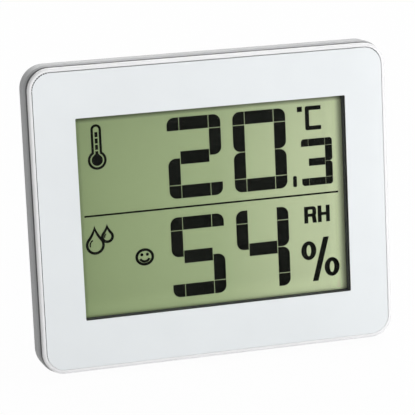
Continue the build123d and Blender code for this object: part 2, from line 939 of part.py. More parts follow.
with BuildPart() as display_pads:
    with BuildSketch(behind(reflector_back_depth)):
        with Locations((0, up_from_edge(cell_height))):
            with GridLocations(display_width / 2, 0, 2, 1):
                Rectangle(pad_width, pad_height)
    extrude(amount=-(bay_floor_depth - reflector_back_depth))
    with BuildSketch(behind(reflector_back_depth)):
        with Locations((0, up_from_edge(board_pad_height))):
            with GridLocations(display_width / 2, 0, 2, 1):
                Rectangle(pad_width, pad_height)
    extrude(amount=-(board_front_depth - reflector_back_depth))
display_pads.part.label = "display_pads"
export_step(display_pads.part, "parts/display_pads.step")

# Circuit board and its screws
with BuildPart() as circuit_board:
    with BuildSketch(behind(board_front_depth)):
        with Locations((0, up_from_edge((holder_bottom + board_top_height) / 2))):
            RectangleRounded(holder_width, board_height, board_corner_radius)
        with Locations(*board_screw_spots):
            Circle(board_screw_radius + screw_clearance, mode=Mode.SUBTRACT)
        notch_round_bosses()
    extrude(amount=-board_thickness)
circuit_board.part.label = "circuit_board"
export_step(circuit_board.part, "parts/circuit_board.step")


def cross_slot(head_radius):
    """Cross recess of a screw head, about the current location."""
    Rectangle(head_radius * screw_slot_share, screw_slot_width)
    Rectangle(screw_slot_width, head_radius * screw_slot_share)


with BuildPart() as board_screws:
    with BuildSketch(behind(board_back_depth)):
        with Locations(*board_screw_spots):
            Circle(board_screw_head_radius)
    extrude(amount=-board_screw_head_height)
    fillet(board_screws.faces().group_by(forward_axis)[0].edges(), screw_head_round)
    with BuildSketch(behind(board_screw_tip_depth)):
        with Locations(*board_screw_spots):
            Circle(board_screw_radius)
    extrude(amount=-(board_back_depth - board_screw_tip_depth))
    with BuildSketch(behind(board_back_depth + board_screw_head_height - screw_slot_depth)):
        with Locations(*board_screw_spots):
            cross_slot(board_screw_head_radius)
    extrude(amount=-(screw_slot_depth + cut_overrun), mode=Mode.SUBTRACT)
board_screws.part.label = "board_screws"
export_step(board_screws.part, "parts/board_screws.step")

# Chip under its drop of epoxy
with BuildPart() as controller_chip:
    with BuildSketch(behind(board_back_depth)):
        with Locations((0, up_from_edge(holder_bottom + board_height * chip_height_share))):
            Circle(chip_radius)
    extrude(amount=-chip_thickness)
    fillet(controller_chip.faces().sort_by(forward_axis)[0].edges(), chip_round)
controller_chip.part.label = "controller_chip"
export_step(controller_chip.part, "parts/controller_chip.step")

# Clock crystal in its can, lying on the board
crystal_depth = board_back_depth + crystal_gap + crystal_radius
with BuildPart() as clock_crystal:
    with BuildSketch(beside(crystal_side)):
        with Locations((crystal_depth, up_from_edge(board_top_height - crystal_drop))):
            Circle(crystal_radius)
    extrude(amount=crystal_length)
    fillet(clock_crystal.edges().filter_by(GeomType.CIRCLE), crystal_edge_round)
clock_crystal.part.label = "clock_crystal"
export_step(clock_crystal.part, "parts/clock_crystal.step")

# Small surface mounted parts
with BuildPart() as board_components:
    with BuildSketch(behind(board_back_depth)):
        with Locations((component_side, up_from_edge(board_top_height - component_drop))):
            with GridLocations(
                component_pitch, component_pitch, component_columns, component_rows
            ):
                Rectangle(component_length, component_width)
    extrude(amount=-component_thickness)
board_components.part.label = "board_components"
export_step(board_components.part, "parts/board_components.step")

# Humidity sensor in its slotted housing, and the bead thermistor, both behind the vents
with BuildPart() as humidity_sensor:
    with BuildSketch(behind(board_back_depth)):
        with Locations((button_side, up_from_edge(vent_height))):
            Rectangle(humidity_sensor_width, humidity_sensor_size)
    extrude(amount=-humidity_sensor_depth)
    with BuildSketch(behind(board_back_depth + humidity_sensor_depth - humidity_slot_depth)):
        with Locations((button_side, up_from_edge(vent_height))):
            with GridLocations(humidity_slot_pitch, 0, humidity_slot_count, 1):
                SlotOverall(
                    humidity_sensor_size - humidity_slot_pitch, humidity_slot_width, rotation=90
                )
    extrude(amount=-(humidity_slot_depth + cut_overrun), mode=Mode.SUBTRACT)
humidity_sensor.part.label = "humidity_sensor"
export_step(humidity_sensor.part, "parts/humidity_sensor.step")

thermistor_depth = board_back_depth + crystal_gap + thermistor_radius
thermistor_leg_side = -button_side - thermistor_leg_length + thermistor_leg_radius
with BuildPart() as thermistor:
    with BuildSketch(beside(-button_side)):
        with Locations((thermistor_depth, up_from_edge(vent_height))):
            Circle(thermistor_radius)
    extrude(amount=thermistor_length)
    fillet(thermistor.edges().filter_by(GeomType.CIRCLE), thermistor_edge_round)
    with BuildSketch(beside(-button_side - thermistor_leg_length)):
        with Locations((thermistor_depth, up_from_edge(vent_height))):
            with GridLocations(0, thermistor_leg_spacing, 1, 2):
                Circle(thermistor_leg_radius)
    extrude(amount=thermistor_leg_length + thermistor_radius)
    with BuildSketch(behind(board_back_depth)):
        with Locations((thermistor_leg_side, up_from_edge(vent_height))):
            with GridLocations(0, thermistor_leg_spacing, 1, 2):
                Circle(thermistor_leg_radius)
    extrude(amount=-(crystal_gap + thermistor_radius))
thermistor.part.label = "thermistor"
export_step(thermistor.part, "parts/thermistor.step")

# Rear shell
raised_height = raised_top - raised_back_bottom
raised_middle = up_from_edge((raised_top + raised_back_bottom) / 2)
bay_length = cell_length + cell_nub_length + spring_length + 2 * (
    contact_thickness + contact_play
)
bay_block_width = bay_length + 2 * bay_end_wall
door_half_width = bay_length / 2 + door_side_reach
door_pocket_width = 2 * (door_half_width + door_clearance)
door_pocket_depth = door_inner_depth - door_flange_height - door_clearance
tongue_back_depth = door_inner_depth - door_flange_height + door_tongue_height
case_screw_hole_radius = case_screw_radius + screw_clearance
rear_plane = Plane(
    origin=behind(shell_back_depth).origin, x_dir=(-1, 0, 0), z_dir=-front_plane.z_dir
)

with BuildPart() as rear_shell:
    with BuildSketch(behind(shell_front_depth)):
        RectangleRounded(case_width, case_height, case_corner_radius)
    extrude(amount=-(shell_back_depth - shell_front_depth))
    fillet(rear_shell.faces().sort_by(forward_axis)[0].edges(), shell_edge_round)
    front_ring = rear_shell.faces().sort_by(forward_axis)[-1]
    chamfer(
        front_ring.edges(), shell_front_bevel_reach, shell_front_bevel_depth, reference=front_ring
    )
    with BuildSketch(behind(shell_inner_depth)):
        with Locations((0, raised_middle)):
            RectangleRounded(raised_back_width, raised_height, raised_back_corner_radius)
    extrude(amount=-(raised_back_depth - shell_inner_depth))
    fillet(rear_shell.faces().sort_by(forward_axis)[0].edges(), raised_back_edge_round)
    with BuildSketch(behind(0)):
        RectangleRounded(shell_inner_width, shell_inner_height, shell_inner_radius)
    extrude(amount=-shell_inner_depth, mode=Mode.SUBTRACT)
    with BuildSketch(behind(0)):
        with Locations((0, raised_middle)):
            RectangleRounded(
                raised_back_width - 2 * shell_wall,
                raised_height - 2 * shell_wall,
                raised_back_corner_radius - shell_wall,
            )
    extrude(amount=-raised_inner_depth, mode=Mode.SUBTRACT)
    # Housing of the stand's recess, from the raised back's lower wall to above the hinge
    with BuildSketch(behind(recess_floor_depth - shell_back_wall)):
        span(0, raised_back_bottom + shell_wall / 2, bay_bottom, recess_width + 2 * recess_wall)
    extrude(amount=-(raised_inner_depth - recess_floor_depth + shell_back_wall))
    # Block round the battery
    with BuildSketch(behind(bay_floor_depth)):
        span(0, recess_top, bay_top + bay_top_wall, bay_block_width)
    extrude(amount=-(raised_inner_depth - bay_floor_depth))
    # Bosses behind the case screws
    with BuildSketch(behind(boss_joint_depth)):
        with GridLocations(screw_spacing_x, screw_spacing_y, 2, 2):
            Circle(case_screw_head_radius + case_screw_head_clearance + shell_boss_wall)
    extrude(amount=-(shell_inner_depth - boss_joint_depth))
    # Recess of the stand, open at its lower end
    with BuildSketch(behind(recess_floor_depth)):
        span(0, -cut_overrun, recess_top, recess_width)
    extrude(amount=-(raised_back_depth - recess_floor_depth + cut_overrun), mode=Mode.SUBTRACT)
    # Hinge holes through the recess's side walls
    with BuildSketch(beside(-recess_width / 2 - recess_wall - stand_side_clearance)):
        with Locations((stand_hinge_depth, up_from_edge(stand_hinge_height))):
            Circle(stand_pin_radius + stand_pin_clearance)
    extrude(
        amount=recess_width + 2 * (recess_wall + stand_side_clearance), mode=Mode.SUBTRACT
    )
    # Cavity for the cell, and slots for the contact legs through its lower wall
    with BuildSketch(behind(bay_inner_depth)):
        span(0, bay_bottom, bay_top, bay_length)
    extrude(amount=-(raised_back_depth - bay_inner_depth), mode=Mode.SUBTRACT)
    with BuildSketch(behind(board_back_depth - contact_slot_clearance)):
        for end in (-1, 1):
            slot_middle = end * (bay_length / 2 - contact_thickness / 2)
            span(
                slot_middle,
                recess_top - cut_overrun,
                bay_bottom + contact_thickness,
                contact_thickness + 2 * contact_slot_clearance,
            )
    extrude(amount=-(contact_leg_width + 2 * contact_slot_clearance), mode=Mode.SUBTRACT)
    # Pocket for the door, with a groove for its tongue on each side
    with BuildSketch(behind(door_pocket_depth)):
        span(0, bay_bottom, raised_top + cut_overrun, door_pocket_width)
    extrude(amount=-(raised_back_depth - door_pocket_depth + cut_overrun), mode=Mode.SUBTRACT)
    with BuildSketch(behind(shell_back_depth)):
        span(0, bay_top + bay_top_wall, raised_top + cut_overrun, door_pocket_width)
    extrude(amount=-(raised_back_depth - shell_back_depth + cut_overrun), mode=Mode.SUBTRACT)
    with BuildSketch(behind(door_pocket_depth)):
        span(
            0,
            bay_bottom,
            raised_top + cut_overrun,
            door_pocket_width + 2 * (door_tongue_reach - door_clearance + door_tongue_clearance),
        )
    extrude(
        amount=-(tongue_back_depth + door_tongue_clearance - door_pocket_depth),
        mode=Mode.SUBTRACT,
    )
    # Button holes, vents and the wall hanging hole with its slot
    with BuildSketch(behind(raised_inner_depth - cut_overrun)):
        with Locations((0, up_from_edge(button_height))):
            with GridLocations(2 * button_side, 0, 2, 1):
                Circle(button_radius + button_clearance)
    extrude(amount=-(shell_back_wall + 2 * cut_overrun), mode=Mode.SUBTRACT)
    with BuildSketch(behind(raised_inner_depth - cut_overrun)):
        with Locations((0, up_from_edge(vent_height))):
            with GridLocations(2 * button_side, vent_pitch, 2, vent_count):
                SlotOverall(vent_length, vent_width)
    extrude(amount=-(shell_back_wall + 2 * cut_overrun), mode=Mode.SUBTRACT)
    with BuildSketch(behind(shell_inner_depth)):
        with Locations((0, up_from_edge(hang_hole_height))):
            Circle(hang_hole_radius)
        span(0, hang_hole_height, hang_hole_height + hang_slot_reach, 2 * hang_slot_radius)
        with Locations((0, up_from_edge(hang_hole_height + hang_slot_reach))):
            Circle(hang_slot_radius)
    extrude(amount=-(shell_back_wall + cut_overrun), mode=Mode.SUBTRACT)
    # Counterbored holes for the case screws
    with Locations(rear_plane):
        with GridLocations(screw_spacing_x, screw_spacing_y, 2, 2):
            CounterBoreHole(
                case_screw_hole_radius,
                case_screw_head_radius + case_screw_head_clearance,
                case_screw_seat,
                depth=shell_back_depth - boss_joint_depth + boss_joint_gap,
            )
rear_shell.part.label = "rear_shell"
export_step(rear_shell.part, "parts/rear_shell.step")

# Case screws
case_screw_seat_depth = shell_back_depth - case_screw_seat
with BuildPart() as case_screws:
    with BuildSketch(behind(case_screw_seat_depth)):
        with GridLocations(screw_spacing_x, screw_spacing_y, 2, 2):
            Circle(case_screw_head_radius)
    extrude(amount=-case_screw_head_height)
    fillet(case_screws.faces().group_by(forward_axis)[0].edges(), screw_head_round)
    with BuildSketch(behind(case_screw_tip_depth)):
        with GridLocations(screw_spacing_x, screw_spacing_y, 2, 2):
            Circle(case_screw_radius)
    extrude(amount=-(case_screw_seat_depth - case_screw_tip_depth))
    with BuildSketch(behind(case_screw_seat_depth + case_screw_head_height - screw_slot_depth)):
        with GridLocations(screw_spacing_x, screw_spacing_y, 2, 2):
            cross_slot(case_screw_head_radius)
    extrude(amount=-(screw_slot_depth + cut_overrun), mode=Mode.SUBTRACT)
case_screws.part.label = "case_screws"
export_step(case_screws.part, "parts/case_screws.step")

# Battery door: back plate, end wall, and a tongue on each side that slides in the shell's groove
with BuildPart() as battery_door:
    with BuildSketch(behind(door_inner_depth)):
        span(0, bay_bottom + door_clearance, raised_top, 2 * door_half_width)
    extrude(amount=-door_plate_thickness)
    with BuildSketch(behind(shell_back_depth + door_clearance)):
        span(0, raised_top - door_end_wall, raised_top, 2 * door_half_width)
    extrude(amount=-(door_inner_depth - shell_back_depth - door_clearance))
    back_edges = battery_door.faces().sort_by(forward_axis)[0].edges()
    fillet(back_edges.sort_by(upward_axis)[-1:], raised_back_edge_round)
    with BuildSketch(behind(door_inner_depth - door_flange_height)):
        for side in (-1, 1):
            span(
                side * (door_half_width - door_flange_width / 2),
                bay_bottom + door_clearance + door_tongue_inset,
                raised_top - door_tongue_inset,
                door_flange_width,
            )
    extrude(amount=-door_flange_height)
    with BuildSketch(behind(door_inner_depth - door_flange_height)):
        for side in (-1, 1):
            span(
                side * (door_half_width + door_tongue_reach / 2),
                bay_bottom + door_clearance + door_tongue_inset,
                raised_top - door_tongue_inset,
                door_tongue_reach,
            )
    extrude(amount=-door_tongue_height)
    with BuildSketch(behind(raised_back_depth - door_grip_depth)):
        with Locations((0, up_from_edge(cell_height - door_grip_pitch))):
            with GridLocations(0, door_grip_pitch, 1, door_grip_count):
                SlotOverall(door_grip_width, door_grip_groove)
    extrude(amount=-(door_grip_depth + cut_overrun), mode=Mode.SUBTRACT)
    with BuildSketch(behind(raised_back_depth - door_arrow_depth)):
        arrow_bottom = up_from_edge(cell_height + door_arrow_rise)
        Polygon(
            (-door_arrow_width / 2, arrow_bottom),
            (door_arrow_width / 2, arrow_bottom),
            (0, arrow_bottom + door_arrow_height),
            align=None,
        )
    extrude(amount=-(door_arrow_depth + cut_overrun), mode=Mode.SUBTRACT)
battery_door.part.label = "battery_door"
export_step(battery_door.part, "parts/battery_door.step")

# Battery: one AAA cell, its nub towards +X
cell_positive_end = bay_length / 2 - contact_thickness - contact_play
cell_center = (cell_depth, up_from_edge(cell_height))
with BuildPart() as battery_cell:
    with BuildSketch(beside(cell_positive_end - cell_nub_length - cell_length)):
        with Locations(cell_center):
            Circle(cell_radius)
    extrude(amount=cell_length)
    fillet(battery_cell.edges().filter_by(GeomType.CIRCLE), cell_edge_round)
    with BuildSketch(beside(cell_positive_end - cell_nub_length)):
        with Locations(cell_center):
            Circle(cell_nub_radius)
    extrude(amount=cell_nub_length)
battery_cell.part.label = "battery_cell"
export_step(battery_cell.part, "parts/battery_cell.step")

# Contacts: flat plates with a leg down to the board, and the spring on the negative one
contact_back_depth = door_pocket_depth - contact_slot_clearance
contact_middle_depth = (bay_inner_depth + contact_back_depth) / 2
contact_plate_depth = contact_back_depth - bay_inner_depth - contact_slot_clearance


def contact_plate():
    """Plate across the bay's end with its leg, in a plane square to X."""
    with Locations((contact_middle_depth, up_from_edge(cell_height))):
        Rectangle(contact_plate_depth, contact_width)
    leg_top = cell_height - contact_width / 2
    leg_bottom = board_top_height - contact_leg_reach
    with Locations(
        (board_back_depth + contact_leg_width / 2, up_from_edge((leg_bottom + leg_top) / 2))
    ):
        Rectangle(contact_leg_width, leg_top - leg_bottom)


with BuildPart() as positive_contact:
    with BuildSketch(beside(bay_length / 2 - contact_thickness)):
        contact_plate()
    extrude(amount=contact_thickness)
positive_contact.part.label = "positive_contact"
export_step(positive_contact.part, "parts/positive_contact.step")

with BuildPart() as negative_contact:
    with BuildSketch(beside(-bay_length / 2)):
        contact_plate()
    extrude(amount=contact_thickness)
negative_contact.part.label = "negative_contact"
export_step(negative_contact.part, "parts/negative_contact.step")

spring_start = beside(
    -bay_length / 2 + contact_thickness + contact_play + spring_wire_radius
).from_local_coords((cell_center[0], cell_center[1], 0))
spring_height = spring_length - 2 * spring_wire_radius - 2 * contact_play
with BuildPart() as contact_spring:
    with BuildLine() as spring_path:
        Helix(
            pitch=spring_height / spring_turns,
            height=spring_height,
            radius=spring_radius,
            center=spring_start,
            direction=(1, 0, 0),
        )
    with BuildSketch(spring_path.line ^ 0):
        Circle(spring_wire_radius)
    sweep()
contact_spring.part.label = "contact_spring"
export_step(contact_spring.part, "parts/contact_spring.step")

# Buttons on the back: cap, flange and stem in one piece, above a plunger in the switch body
switch_back_depth = board_back_depth + switch_height
plunger_back_depth = switch_back_depth + plunger_proud
flange_back = raised_inner_depth - button_flange_gap
flange_front = flange_back - button_flange_thickness


def switch_outline(side):
    with Locations((side, up_from_edge(button_height))):
        RectangleRounded(switch_width, switch_width, switch_corner_radius)


def round_outline(side, radius):
    with Locations((side, up_from_edge(button_height))):
        Circle(radius)


for control, side in (("max_min", button_side), ("unit", -button_side)):
    with BuildPart() as switch_body:
        with BuildSketch(behind(board_back_depth)):
            switch_outline(side)
        extrude(amount=-switch_height)
        with BuildSketch(behind(switch_back_depth - plunger_seat - plunger_room)):
            round_outline(side, plunger_radius + plunger_clearance)
        extrude(amount=-(plunger_seat + plunger_room + cut_overrun), mode=Mode.SUBTRACT)
    switch_body.part.label = control + "_switch"
    export_step(switch_body.part, "parts/" + control + "_switch.step")

    with BuildPart() as plunger:
        with BuildSketch(behind(switch_back_depth - plunger_seat)):
            round_outline(side, plunger_radius)
        extrude(amount=-(plunger_seat + plunger_proud))
    plunger.part.label = control + "_plunger"
    export_step(plunger.part, "parts/" + control + "_plunger.step")

    with BuildPart() as cap:
        with BuildSketch(behind(flange_front)):
            round_outline(side, button_radius)
        extrude(amount=-(raised_back_depth + button_proud - flange_front))
        fillet(cap.faces().sort_by(forward_axis)[0].edges(), button_edge_round)
        with BuildSketch(behind(flange_front)):
            round_outline(side, button_radius + button_flange_reach)
        extrude(amount=-button_flange_thickness)
        with BuildSketch(behind(plunger_back_depth)):
            round_outline(side, button_stem_radius)
        extrude(amount=-(flange_front - plunger_back_depth))
    cap.part.label = control + "_button"
    export_step(cap.part, "parts/" + control + "_button.step")

# Stand, opened against its stop: plate, foot, heel above the hinge and a stub pin on each side
hinge_origin = front_plane.from_local_coords(
    (0, up_from_edge(stand_hinge_height), -stand_hinge_depth)
)
stand_plane = Plane(
    origin=hinge_origin,
    x_dir=(1, 0, 0),
    z_dir=(0, -math.cos(stand_tilt), -math.sin(stand_tilt)),
)
stand_axis = Axis(stand_plane.origin, stand_plane.y_dir)
stand_face_axis = Axis(stand_plane.origin, stand_plane.z_dir)

with BuildPart() as stand:
    with BuildSketch(stand_plane.offset(-stand_thickness / 2)):
        with BuildLine():
            Polyline(
                (-stand_width / 2, stand_heel),
                (-stand_foot_width / 2, -stand_length),
                (stand_foot_width / 2, -stand_length),
                (stand_width / 2, stand_heel),
                close=True,
            )
        make_face()
    extrude(amount=stand_thickness)
    foot_corners = stand.edges().filter_by(stand_face_axis).group_by(stand_axis)[0]
    fillet(foot_corners, stand_foot_corner_radius)
    foot_edges = stand.edges().filter_by(Axis.X).group_by(stand_axis)[0]
    fillet(foot_edges, stand_foot_round)
    with BuildSketch(stand_plane.offset(-stand_thickness / 2)):
        with Locations((0, -(stand_length - stand_heel) / 2)):
            RectangleRounded(
                stand_foot_width - 2 * stand_panel_margin,
                stand_length - stand_heel - 2 * stand_panel_margin,
                stand_panel_radius,
            )
    extrude(amount=stand_panel_depth, mode=Mode.SUBTRACT)
    with BuildSketch(Plane(stand_plane.origin, x_dir=stand_plane.y_dir, z_dir=(1, 0, 0))):
        Circle(stand_pin_radius)
    extrude(amount=recess_width / 2 + stand_pin_length, both=True)
stand.part.label = "stand"
export_step(stand.part, "parts/stand.step")

print("The stand opens by", math.degrees(open_angle), "degrees about", hinge_origin)
print("Centre of the front face", front_plane.origin)
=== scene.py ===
import math

import bpy
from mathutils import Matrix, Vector


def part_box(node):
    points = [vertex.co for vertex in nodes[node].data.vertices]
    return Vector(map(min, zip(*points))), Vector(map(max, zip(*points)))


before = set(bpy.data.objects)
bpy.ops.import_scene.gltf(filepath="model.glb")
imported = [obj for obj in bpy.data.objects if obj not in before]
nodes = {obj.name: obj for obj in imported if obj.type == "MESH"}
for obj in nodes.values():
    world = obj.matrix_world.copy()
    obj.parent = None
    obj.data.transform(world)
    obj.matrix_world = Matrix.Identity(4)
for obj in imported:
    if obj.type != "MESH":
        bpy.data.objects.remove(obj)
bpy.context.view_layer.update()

# ---------------------------------------------------------------- sizes, in metres

MM = 0.001
# The case leans back. These give its own directions and the middle of its front face.
LEAN = math.radians(8.42)
FACE_CENTRE = Vector((0.0, -11.2496, 39.1738)) * MM
ACROSS = Vector((1.0, 0.0, 0.0))
UPWARD = Vector((0.0, math.sin(LEAN), math.cos(LEAN)))
BACKWARD = Vector((0.0, math.cos(LEAN), -math.sin(LEAN)))

WINDOW_HALF_WIDTH = 34.88 * MM
WINDOW_HALF_HEIGHT = 25.25 * MM
PANEL_HALF_WIDTH = 45.0 * MM
PANEL_HALF_HEIGHT = 37.0 * MM
PANEL_CORNER = 4.5 * MM
# Less than this is no distance at all.
TOLERANCE = 0.01 * MM


def face_point(right, up):
    """A point in the plane of the front face, from millimetres right of and above its middle."""
    return FACE_CENTRE + (ACROSS * right + UPWARD * up) * MM


WINDOW_CENTRE = face_point(right=0.16, up=0.06)
PANEL_CENTRE = face_point(right=0.01, up=-0.05)


# ---------------------------------------------------------------- colours


def linear(value):
    """The linear value of one 0 to 255 display value."""
    share = value / 255
    if share <= 0.04045:
        return share / 12.92
    return ((share + 0.055) / 1.055) ** 2.4


def colour(red, green, blue):
    """A linear colour from display values."""
    return (linear(red), linear(green), linear(blue), 1.0)


# ---------------------------------------------------------------- surfaces

EVEN = (1.0, 1.0, 1.0)
# Sockets of the Mix node when it mixes colours.
MIX_SHARE, MIX_FIRST, MIX_SECOND, MIX_RESULT = 0, 6, 7, 2


class Surface:
    """A material with its Principled shader and short ways to add nodes."""

    def __init__(self, name):
        self.material = bpy.data.materials.new(name)
        self.material.use_nodes = True
        self.tree = self.material.node_tree
        self.shader = self.tree.nodes["Principled BSDF"]
        self.place = self.add("ShaderNodeTexCoord").outputs["Object"]
        self.painted = None

    # Any node

    def add(self, kind, **settings):
        """A new node with its properties."""
        node = self.tree.nodes.new(kind)
        for key, value in settings.items():
            setattr(node, key, value)
        return node

    def link(self, source, target):
        self.tree.links.new(source, target)

    def feed(self, socket, value):
        """Sets a socket to a plain value, or links it to another socket."""
        if isinstance(value, (int, float, tuple)):
            socket.default_value = value
        else:
            self.link(value, socket)

    # Values

    def noise(self, scale, detail=2.0, stretch=EVEN):
        """Noise over the object, stretched along an axis where its factor is small."""
        node = self.add("ShaderNodeTexNoise")
        node.inputs["Scale"].default_value = scale
        node.inputs["Detail"].default_value = detail
        place = self.place
        if stretch != EVEN:
            mapping = self.add("ShaderNodeMapping")
            mapping.inputs["Scale"].default_value = stretch
            self.link(place, mapping.inputs["Vector"])
            place = mapping.outputs["Vector"]
        self.link(place, node.inputs["Vector"])
        return node.outputs["Fac"]

    def spread(self, source, low, high, start=0.3, end=0.7):
        """Low where the source is at start, high at end. Noise seldom leaves 0.3 to 0.7."""
        node = self.add("ShaderNodeMapRange")
        limits = {"From Min": start, "From Max": end, "To Min": low, "To Max": high}
        for key, value in limits.items():
            node.inputs[key].default_value = value
        self.link(source, node.inputs["Value"])
        return node.outputs["Result"]

    def smooth(self, source, start, end):
        """0 below start and 1 above end, with soft ends."""
        node = self.add("ShaderNodeMapRange", interpolation_type="SMOOTHSTEP")
        node.inputs["From Min"].default_value = start
        node.inputs["From Max"].default_value = end
        self.link(source, node.inputs["Value"])
        return node.outputs["Result"]

    def math(self, operation, first, second=0.0):
        node = self.add("ShaderNodeMath", operation=operation)
        for socket, value in zip(node.inputs, (first, second)):
            self.feed(socket, value)
        return node.outputs["Value"]

    def along(self, direction, origin):
        """How far a point lies along a direction from an origin, in metres."""
        from_origin = self.add("ShaderNodeVectorMath", operation="SUBTRACT")
        from_origin.inputs[1].default_value = origin
        self.link(self.place, from_origin.inputs[0])
        dot = self.add("ShaderNodeVectorMath", operation="DOT_PRODUCT")
        dot.inputs[1].default_value = direction
        self.link(from_origin.outputs["Vector"], dot.inputs[0])
        return dot.outputs["Value"]

    # Colours

    def mix(self, share, first, second, blend="MIX"):
        """The first colour where the share is 0, and the second where it is 1."""
        node = self.add("ShaderNodeMix", data_type="RGBA", blend_type=blend)
        sockets = (MIX_SHARE, MIX_FIRST, MIX_SECOND)
        for index, value in zip(sockets, (share, first, second)):
            self.feed(node.inputs[index], value)
        return node.outputs[MIX_RESULT]

    def clouded(self, noise, first, second):
        """Two display colours, spread over the surface by noise."""
        return self.mix(self.spread(noise, 0.0, 1.0), colour(*first), colour(*second))

    # Places on the panel

    def from_core(self):
        """How far a point lies from the rectangle between the centres of the panel's corners."""
        squares = []
        for direction, half in ((ACROSS, PANEL_HALF_WIDTH), (UPWARD, PANEL_HALF_HEIGHT)):
            away = self.math("ABSOLUTE", self.along(direction, PANEL_CENTRE))
            beyond = self.math("MAXIMUM", self.math("SUBTRACT", away, half - PANEL_CORNER), 0.0)
            squares.append(self.math("MULTIPLY", beyond, beyond))
        return self.math("SQRT", self.math("ADD", *squares))

    def upper_left_edge(self):
        """1 on the panel's edge, along its upper and left sides, and 0 elsewhere."""
        towards = UPWARD / PANEL_HALF_HEIGHT - ACROSS / PANEL_HALF_WIDTH
        upper_left = self.math("GREATER_THAN", self.along(towards, PANEL_CENTRE), 0.0)
        edge = self.math("GREATER_THAN", self.from_core(), PANEL_CORNER - TOLERANCE)
        return self.math("MULTIPLY", edge, upper_left)

    def edge_shade(self):
        """How much painted shade the panel's edge gets: most high on its left side, less below
        and on top.
        """
        height = self.along(UPWARD, PANEL_CENTRE)
        at_side = self.spread(
            height, 0.1, 1.0, start=-PANEL_HALF_HEIGHT, end=0.55 * PANEL_HALF_HEIGHT)
        on_top = self.smooth(height, PANEL_HALF_HEIGHT - 1.0 * MM, PANEL_HALF_HEIGHT)
        return self.math("SUBTRACT", at_side, self.math("MULTIPLY", on_top, 0.25))

    # The shader's sockets

    def paint(self, source):
        self.painted = source
        self.link(source, self.shader.inputs["Base Color"])

    def roughen(self, noise, low, high):
        """Roughness that follows noise."""
        self.link(self.spread(noise, low, high), self.shader.inputs["Roughness"])

    def bump(self, height, distance, strength):
        node = self.add("ShaderNodeBump")
        node.inputs["Distance"].default_value = distance
        node.inputs["Strength"].default_value = strength
        self.link(height, node.inputs["Height"])
        self.link(node.outputs["Normal"], self.shader.inputs["Normal"])

    def fix(self, **values):
        """Sets sockets of the shader; an underscore stands for a space."""
        for key, value in values.items():
            self.shader.inputs[key.replace("_", " ")].default_value = value


def moulded(name, base, shade, rough, grain=1500.0, height=0.012 * MM, gloss=0.5):
    """Moulded plastic: slow mottling, a fine spark-eroded grain and uneven gloss."""
    surface = Surface(name)
    mottling = surface.noise(scale=90.0, detail=3.0)
    surface.paint(surface.clouded(mottling, base, shade))
    fine = surface.noise(grain, detail=3.0)
    surface.roughen(fine, *rough)
    surface.bump(fine, height, strength=0.6)
    surface.fix(Specular_IOR_Level=gloss)
    return surface


def metal(name, base, shade, rough, stretch=EVEN):
    """Bare metal with fine drawing lines and slight stains."""
    surface = Surface(name)
    stains = surface.noise(scale=350.0, detail=3.0)
    surface.paint(surface.clouded(stains, base, shade))
    lines = surface.noise(scale=2500.0, stretch=stretch)
    surface.roughen(lines, *rough)
    surface.bump(lines, distance=0.004 * MM, strength=0.5)
    surface.fix(Metallic=1.0)
    return surface


def clear(name, tint, shade, alpha, roughness):
    """Clear plate: mostly see-through, with faint marks in its gloss."""
    surface = Surface(name)
    marks = surface.noise(scale=700.0, detail=4.0)
    surface.roughen(marks, roughness, roughness + 0.04)
    surface.bump(surface.noise(scale=120.0, detail=1.0), distance=0.002 * MM, strength=0.3)
    surface.paint(surface.clouded(marks, tint, shade))
    surface.fix(Alpha=alpha, Specular_IOR_Level=0.3)
    return surface


def dress(surface, *names):
    """Gives CAD nodes their material."""
    for name in names:
        slots = nodes[name].data.materials
        if not slots:
            slots.append(surface.material)
        for index in range(len(slots)):
            slots[index] = surface.material


# ---------------------------------------------------------------- frame, film and lens

# The colour of the painted shade on the film's and the lens's edges in the seam.
SEAM_SHADE_DARK = (60, 62, 64)
FILM_WHITE = (236, 240, 242)
LENS_ALPHA = 0.006
LENS_EDGE_ALPHA = 0.97

# Painted shade darkens the rim in the parting groove, and painted light brightens the pocket's
# wall round the panel.
frame_white = moulded(
    "frame_white", (243, 243, 244), (238, 238, 239), (0.30, 0.42),
    grain=2600.0, height=0.004 * MM, gloss=0.45)
frame_depth = frame_white.along(BACKWARD, FACE_CENTRE)
painted_groove_shade = frame_white.smooth(frame_depth, 0.55 * MM, 1.2 * MM)
round_panel = frame_white.math("LESS_THAN", frame_white.from_core(), PANEL_CORNER + 0.35 * MM)
# Painted light: the pocket's wall in the seam is brightened to near white against its shade.
painted_seam_light = frame_white.math(
    "MULTIPLY", frame_white.smooth(frame_depth, 0.08 * MM, 0.25 * MM), round_panel)
frame_white.paint(frame_white.mix(painted_groove_shade, frame_white.painted, colour(112, 113, 114)))
frame_white.paint(frame_white.mix(painted_seam_light, frame_white.painted, colour(252, 253, 254)))
dress(frame_white, "front_frame")

# Painted shade on the cut edge of the film, seen down the seam along its upper and left sides.
panel_white = Surface("panel_white")
panel_white.paint(panel_white.clouded(panel_white.noise(scale=60.0), FILM_WHITE, (233, 237, 239)))
film_peel = panel_white.noise(scale=500.0)
panel_white.roughen(film_peel, 0.14, 0.2)
behind_face = panel_white.smooth(
    panel_white.along(BACKWARD, FACE_CENTRE), TOLERANCE, 3.0 * TOLERANCE)
film_edge_shade = panel_white.math("MULTIPLY", behind_face, panel_white.upper_left_edge())
film_edge_shade = panel_white.math("MULTIPLY", film_edge_shade, panel_white.edge_shade())
panel_white.paint(panel_white.mix(film_edge_shade, panel_white.painted, colour(*SEAM_SHADE_DARK)))
panel_white.bump(film_peel, distance=0.0015 * MM, strength=0.5)
panel_white.fix(Specular_IOR_Level=0.4, Coat_Weight=0.2, Coat_Roughness=0.08)
dress(panel_white, "front_overlay")
